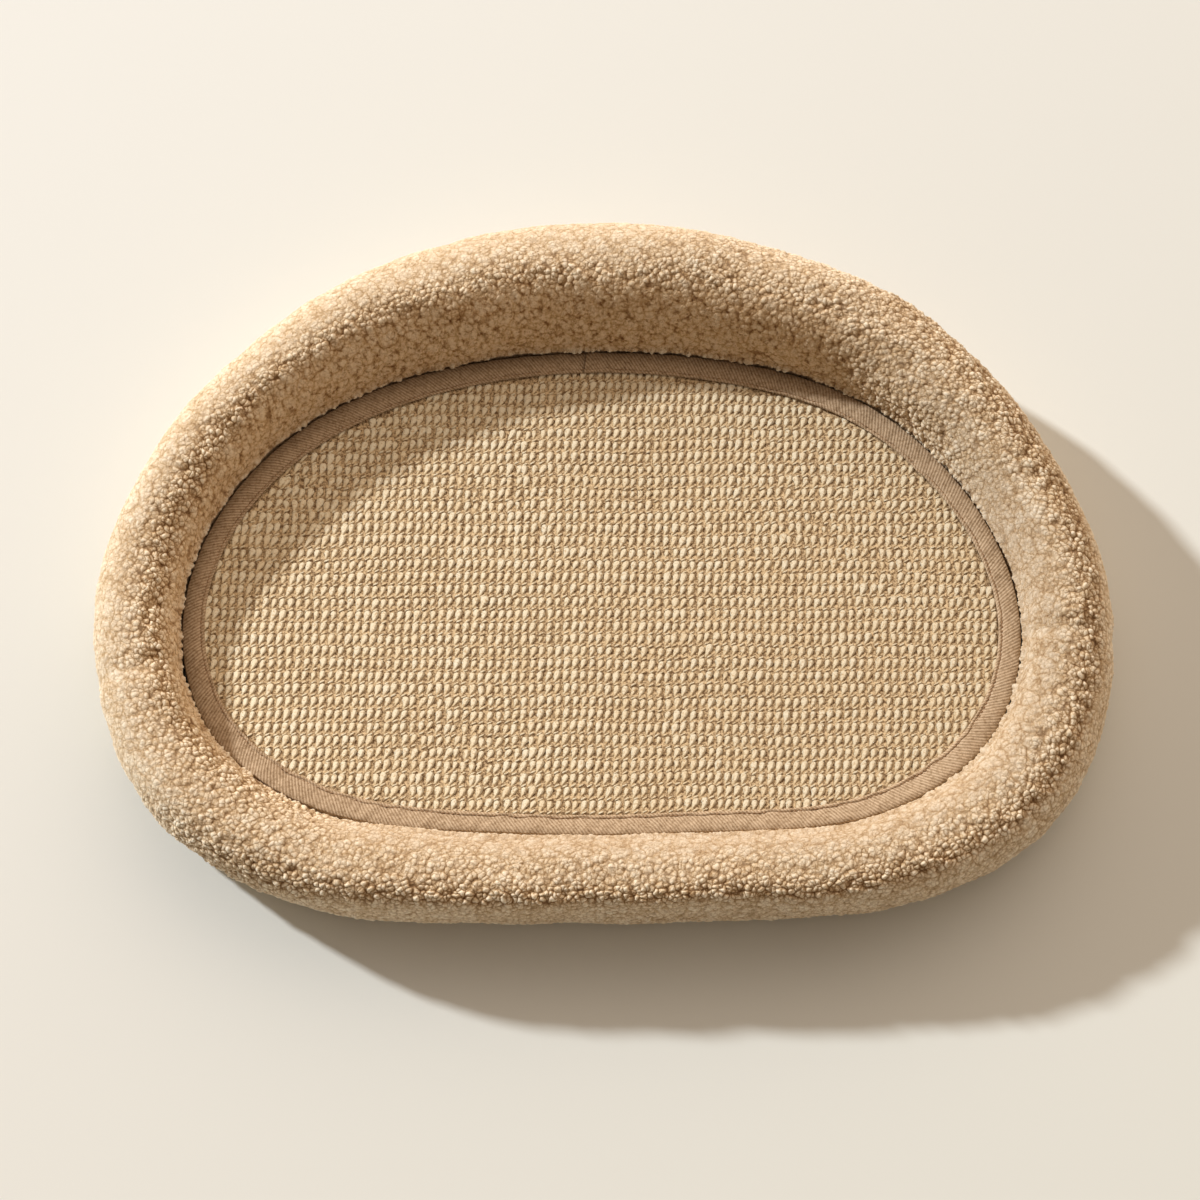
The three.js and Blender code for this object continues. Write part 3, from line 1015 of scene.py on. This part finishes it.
def add_loops(material, name, centres, uneven, seed):
    """One joined mesh of yarn loops that lean to the right, and the strands between their rows."""
    dice = np.random.default_rng(seed)
    count = len(centres)
    size = dice.normal(1, SIZE_SPREAD, count)
    lean = dice.normal(0, LEAN_SPREAD, count) * uneven
    rings = [LOOP_FOOT, *LOOP_RINGS, LOOP_HEAD]
    loops = np.concatenate([ring_points(centres, ring, size, lean, dice) for ring in rings], 1)
    loops[..., 2] -= np.abs(dice.normal(0, LOOP_DROP, count))[:, None]
    strands = strand_points(centres, dice)
    strand_faces = tube_faces(2, STRAND_SIDES)[:, ::-1]
    faces = np.concatenate([
        repeated(tube_faces(len(LOOP_RINGS), LOOP_SIDES), count, loops.shape[1], 0),
        repeated(strand_faces, count, strands.shape[1], count * loops.shape[1]),
    ])
    points = np.concatenate([loops.reshape(-1, 3), strands.reshape(-1, 3)])
    piece = new_piece(name, points, faces, material)
    tone = np.clip(dice.normal(*LOOP_TONE, count), 0, 1)
    strand_tone = np.clip(dice.normal(*STRAND_TONE, count), 0, 1)
    add_values(piece, "tone", np.concatenate([
        np.repeat(tone, loops.shape[1]), np.repeat(strand_tone, strands.shape[1]),
    ]))
    return piece


def add_mat_ground(material):
    """The woven ground under the loops, hollowed along each row and cut to the mat's shape."""
    left, right = side_lines(inner_loop(MAT_EDGE, steps=720))
    front = left[0, 1] + GROUND_MARGIN
    back = left[-1, 1] - GROUND_MARGIN
    ups, downs = [], []
    for row in range(-MOST_ROWS, MOST_ROWS + 1):
        for level in GROUND_LEVELS:
            ups.append(row * ROW_PITCH + level.along)
            downs.append(level.down)
    ups, downs = np.array(ups), np.array(downs)
    keep = (ups > front) & (ups < back)
    y = np.concatenate([[front], ups[keep], [back]])
    down = np.concatenate([[HOLLOW_DOWN], downs[keep], [HOLLOW_DOWN]])
    share = np.linspace(0, 1, GROUND_ACROSS)
    low_x = np.interp(y, left[:, 1], left[:, 0])[:, None]
    high_x = np.interp(y, right[:, 1], right[:, 0])[:, None]
    top = np.stack([
        low_x + (high_x - low_x) * share,
        y[:, None] + 0 * share,
        mat_high - down[:, None] + 0 * share,
    ], -1)
    rows, columns = top.shape[:2]
    index = np.arange(rows * columns).reshape(rows, columns)
    rim = np.concatenate([index[0], index[1:, -1], index[-1, -2::-1], index[-2:0:-1, 0]])
    low = top.reshape(-1, 3)[rim].copy()
    low[:, 2] = mat_low
    first = rows * columns
    below = first + np.arange(len(rim))
    centre = first + len(rim)
    side = np.stack([rim, below, np.roll(below, -1), np.roll(rim, -1)], -1)
    floor = np.stack([below, np.full(len(rim), centre), np.roll(below, -1)], -1)
    faces = np.concatenate([in_threes(grid_faces(rows, columns)[:, ::-1]), in_threes(side), floor])
    points = np.concatenate([top.reshape(-1, 3), low, low.mean(0)[None]])
    return new_piece("mat_ground", points, faces, material)


# Mat binding

TAPE_STEPS = 760
TAPE_JOIN = 0.2545
TAPE_LAP = 5.0
TAPE_SLANT = 0.22
TAPE_BEND = 1.9
LIP_WIDTH = 2.0
FRONT_TILT = 2.0
LAP_LIFT = 0.5
LAP_TUCK = 0.4
LAP_RUN = 12.0
CUT_STEPS = (1.2, 0.8, 0.4, 0)
RUMPLE = Bumps(0.16, 9, 10, 51)
SEAM_WAVER = Bumps(0.35, 16, 10, 52)
# Painted shade along the tape's outer edge, under the bolster at the back and left
TAPE_EDGE_SHADE = 0.6
EDGE_SHADE_START = 0.5
EDGE_SHADE_REACH = 11
EDGE_SHADE_SPREAD = 90
EDGE_SHADE_TO_LEFT = 0.6
SLANT_MIDDLE = 6

# Corners of the folded tape's section. Each lies inwards from a line that runs along the tape
# and up from its high or low side, and some take a share of the front's tilt.
Corner = namedtuple("Corner", "line inward side up tilt", defaults=[0])
TAPE_SECTION = [
    Corner("edge", 1.9, "low", 0),
    Corner("edge", 0.6, "low", 0.7),
    Corner("edge", 0.35, "low", 2),
    Corner("edge", 0.35, "high", -3.6),
    Corner("edge", 0.38, "high", -1.1, 1),
    Corner("edge", 0.55, "high", -0.5, 1),
    Corner("edge", 1.1, "high", -0.1, 1),
    Corner("quarter", 0, "high", 0.05, 0.75),
    Corner("middle", 0, "high", 0.05, 0.4),
    Corner("three_quarters", 0, "high", -0.15, 0.15),
    Corner("groove", -0.6, "high", -0.45),
    Corner("groove", -0.2, "high", -0.7),
    Corner("groove", 0, "high", -0.85),
    Corner("groove", 0.25, "high", -0.6),
    Corner("groove", 0.6, "high", -0.4),
    Corner("groove", 1.1, "high", -0.35),
    Corner("groove", 1.6, "high", -0.55),
    Corner("lip", 0.05, "high", -1.0),
    Corner("lip", -0.2, "high", -1.5),
    Corner("groove", 0, "high", -1.75),
    Corner("edge", 3.2, "high", -1.75),
    Corner("edge", 1.8, "high", -2.8),
    Corner("edge", 1.8, "low", 1.9),
    Corner("edge", 3.0, "low", 1.2),
    Corner("lip", -0.5, "low", 1.2),
    Corner("lip", -0.5, "low", 0),
]


def tape_profile(at, lift, waver):
    """Distance in from the bolster and height, round the folded tape's section."""
    groove = at.tape - LIP_WIDTH + waver
    body = groove - TAPE_BEND
    lines = {
        "edge": 0 * groove,
        "quarter": TAPE_BEND + 0.25 * body,
        "middle": TAPE_BEND + 0.5 * body,
        "three_quarters": TAPE_BEND + 0.75 * body,
        "groove": groove,
        "lip": at.tape,
    }
    sides = {"low": binding_low + 0 * lift, "high": binding_high + lift}
    tilt = FRONT_TILT * front_share(at.y)
    inset = [lines[corner.line] + corner.inward for corner in TAPE_SECTION]
    height = [sides[corner.side] + corner.up + corner.tilt * tilt for corner in TAPE_SECTION]
    return np.stack(inset, 1), np.stack(height, 1)


def add_binding(material):
    """The folded tape round the mat, lapped over its own start at the back."""
    full = 1 + TAPE_LAP / RING_LENGTH
    turn = np.linspace(0, full - 2 / RING_LENGTH, TAPE_STEPS)
    turn = np.concatenate([turn, full - np.array(CUT_STEPS) / RING_LENGTH])
    first = stations(TAPE_JOIN + turn)
    waver = soft_bumps(placed(first, -first.half_width, 0), SEAM_WAVER)
    end = smooth_step(((turn - 1) * RING_LENGTH + LAP_RUN) / LAP_RUN)
    start = smooth_step(1 - turn * RING_LENGTH / LAP_RUN)
    inset, height = tape_profile(first, LAP_LIFT * end - LAP_TUCK * start, waver)
    share = TAPE_JOIN + turn[:, None] + TAPE_SLANT * (inset - SLANT_MIDDLE) / RING_LENGTH
    at = stations(share)
    rumple = soft_bumps(placed(at, -(at.half_width + inset), 0), RUMPLE)
    height = height + rumple * (height > binding_high - 1)
    points = placed(at, -(at.half_width + PIECE_GAP + inset), height)
    count, around = inset.shape
    faces = in_threes(grid_faces(count, around, wrap_columns=True))
    index = np.arange(1, around - 1)
    caps = np.stack([0 * index, index, index + 1], -1)
    faces = np.concatenate([faces, caps[:, ::-1], (count - 1) * around + caps])
    piece = new_piece("tape_binding", points.reshape(-1, 3), faces, material)

    steps = np.linalg.norm(np.diff(points, axis=1), axis=-1)
    across = np.concatenate([np.zeros((count, 1)), steps.cumsum(1)], 1)
    middle = points[:, around // 3]
    add_values(piece, "along", run_along(middle)[:, None] + 0 * across)
    add_values(piece, "across", across)
    # Painted shade along the outer edge, fullest towards the back left
    shade_towards_back_left = np.clip((at.y - EDGE_SHADE_TO_LEFT * at.x) / EDGE_SHADE_SPREAD, 0, 1)
    painted_tape_shade = TAPE_EDGE_SHADE * shade_towards_back_left * (1 - smooth_step((inset - EDGE_SHADE_START) / EDGE_SHADE_REACH))
    # Painted shade in the crevice at the tape's cut end
    painted_tape_shade[-2:] = 1
    add_values(piece, "painted_tape_shade", painted_tape_shade)
    return piece


# Stitches

STITCH_PITCH = 2.9
STITCH_HALF = 1.05
STITCH_THICK = 0.3
STITCH_DOWN = 0.6
STITCH_DIVE = 0.25
STITCH_RINGS = [Ends(-1, 0), Ends(-0.6, 1), Ends(0.6, 1), Ends(1, 0)]


def add_stitches(material):
    """The row of small stitches that lie in the binding's groove."""
    share = np.linspace(0, 1, 4001)
    at = stations(share)
    run = run_along(placed(at, -(at.half_width + PIECE_GAP + at.tape - LIP_WIDTH), 0))
    count = round(run[-1] / STITCH_PITCH)
    places = (np.arange(count) + 0.5) * run[-1] / count
    parts = []
    for ring in STITCH_RINGS:
        at = stations(np.interp(places + ring.along * STITCH_HALF, run, share)[:, None])
        sides = STRAND_SIDES if ring.thick else 1
        spin = TAU * np.arange(sides) / sides
        reach = STITCH_THICK * ring.thick
        out = -(at.half_width + PIECE_GAP + at.tape - LIP_WIDTH) + reach * np.cos(spin)
        up = binding_high - STITCH_DOWN - STITCH_DIVE * (1 - ring.thick) + reach * np.sin(spin)
        parts.append(placed(at, out, up))
    points = np.concatenate(parts, 1)
    faces = repeated(tube_faces(2, STRAND_SIDES), count, points.shape[1], 0)
    return new_piece("binding_stitches", points.reshape(-1, 3), faces, material)


# Base pad

PadRing = namedtuple("PadRing", "inset up")
PAD_RINGS = [
    PadRing(60, 0), PadRing(8, 0), PadRing(3, 0.4), PadRing(1.2, 2.5), PadRing(0.8, 8),
    PadRing(0.8, 17), PadRing(1.6, 21), PadRing(4, 23.6), PadRing(9, 24.3), PadRing(40, 24.6),
]


def add_pad(material):
    """The filled floor of the bed: rings one over the other, shut by a fan at each end."""
    rings = np.stack([inner_loop(ring.inset, ring.up) for ring in PAD_RINGS])
    levels, around = rings.shape[:2]
    points = np.concatenate([rings.reshape(-1, 3), rings[[0, -1]].mean(1)])
    index = np.arange(around)
    after = (index + 1) % around
    top = (levels - 1) * around
    centre = levels * around
    faces = np.concatenate([
        in_threes(grid_faces(levels, around, wrap_columns=True)[:, ::-1]),
        np.stack([after, index, 0 * index + centre], -1),
        np.stack([top + index, top + after, 0 * index + centre + 1], -1),
    ])
    return new_piece("pad", points, faces, material)


# Build

fleece = fleece_material()
sisal = sisal_material()
tape = tape_material()
cloth = cloth_material()

fleece_pieces = add_bolster(fleece)
for piece in fleece_pieces:
    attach(piece, "root")
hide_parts("bolster")

centres, uneven = loop_centres()
half = np.median(centres[:, 1])
for name, pick, seed in (
    ("sisal_loops_back", centres[:, 1] > half, 3),
    ("sisal_loops_front", centres[:, 1] <= half, 4),
):
    piece = add_loops(sisal, name, centres[pick], uneven[pick], seed)
    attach(piece, "root")
pad = add_pad(cloth)
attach(pad, "root")
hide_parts("base_pad")
ground = add_mat_ground(ground_material())
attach(ground, "root")
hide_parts("sisal_mat")
binding = add_binding(tape)
stitches = add_stitches(thread_material())
for piece in (binding, stitches):
    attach(piece, "root")
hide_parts("mat_binding")


# Floor, light and camera

FLOOR_HALF = 6.0
FLOOR_DROP = 0.0003
LIGHT_FROM = Vector((-1.95, 1.26, 1.0))
SUN_STRENGTH = 4.02
SUN_SPREAD = 3.5
GLOW_FOCUS = 4
Glow = namedtuple("Glow", "azimuth height strength")
ROOM_GLOWS = [
    Glow(0, 90, 0.14), Glow(45, 25, 0.95), Glow(90, 25, 1.08), Glow(135, 25, 0.19),
    Glow(270, 25, 0.22), Glow(315, 25, 0.28),
]
ROOM_COLOUR = (1.276, 1.0, 0.777)
CAMERA_HEIGHT_ANGLE = 66
LENS = 95
SENSOR = 36
FRAME_PIXELS = 1200
PIXELS_PER_MM = 1.707


def add_floor():
    corners = [(x * FLOOR_HALF, y * FLOOR_HALF, 0) for x, y in ((-1, -1), (1, -1), (1, 1), (-1, 1))]
    mesh = bpy.data.meshes.new("floor")
    mesh.from_pydata(corners, [], [(0, 1, 2, 3)])
    mesh.materials.append(floor_material())
    floor = bpy.data.objects.new("floor", mesh)
    floor.location.z = -FLOOR_DROP
    bpy.context.scene.collection.objects.link(floor)


def add_sun():
    sun = bpy.data.lights.new("window", "SUN")
    sun.energy = SUN_STRENGTH
    sun.angle = math.radians(SUN_SPREAD)
    lamp = bpy.data.objects.new("window", sun)
    lamp.rotation_euler = LIGHT_FROM.to_track_quat("Z", "Y").to_euler()
    bpy.context.scene.collection.objects.link(lamp)


def add_room():
    """Soft warm light from the sides of the room, each a broad glow round one direction."""
    world = bpy.data.worlds.new("room")
    nodes = Nodes(world)
    direction = nodes.add("ShaderNodeTexCoord").outputs["Generated"]
    total = 0
    for glow in ROOM_GLOWS:
        azimuth, height = math.radians(glow.azimuth), math.radians(glow.height)
        facing = nodes.dot(direction, (
            math.cos(azimuth) * math.cos(height),
            math.sin(azimuth) * math.cos(height),
            math.sin(height),
        ))
        shine = nodes.math("POWER", nodes.math("MAXIMUM", facing, 0), GLOW_FOCUS)
        total = nodes.math("ADD", nodes.math("MULTIPLY", shine, glow.strength), total)
    background = nodes.tree.nodes["Background"]
    nodes.put((*ROOM_COLOUR, 1), background.inputs["Color"])
    nodes.put(total, background.inputs["Strength"])
    bpy.context.scene.world = world


def add_camera():
    camera = bpy.data.cameras.new("view")
    camera.lens = LENS
    camera.sensor_width = SENSOR
    camera.sensor_fit = "HORIZONTAL"
    focal_pixels = LENS / SENSOR * FRAME_PIXELS
    distance = focal_pixels / PIXELS_PER_MM * MM
    angle = math.radians(CAMERA_HEIGHT_ANGLE)
    back = Vector((0, -math.cos(angle), math.sin(angle)))
    target = Vector((-ORIGIN[0] * MM, -ORIGIN[1] * MM, 0))
    holder = bpy.data.objects.new("view", camera)
    holder.location = target + back * distance
    holder.rotation_euler = back.to_track_quat("Z", "Y").to_euler()
    bpy.context.scene.collection.objects.link(holder)
    bpy.context.scene.camera = holder


add_floor()
add_sun()
add_room()
add_camera()
bpy.context.scene.view_settings.view_transform = "Standard"
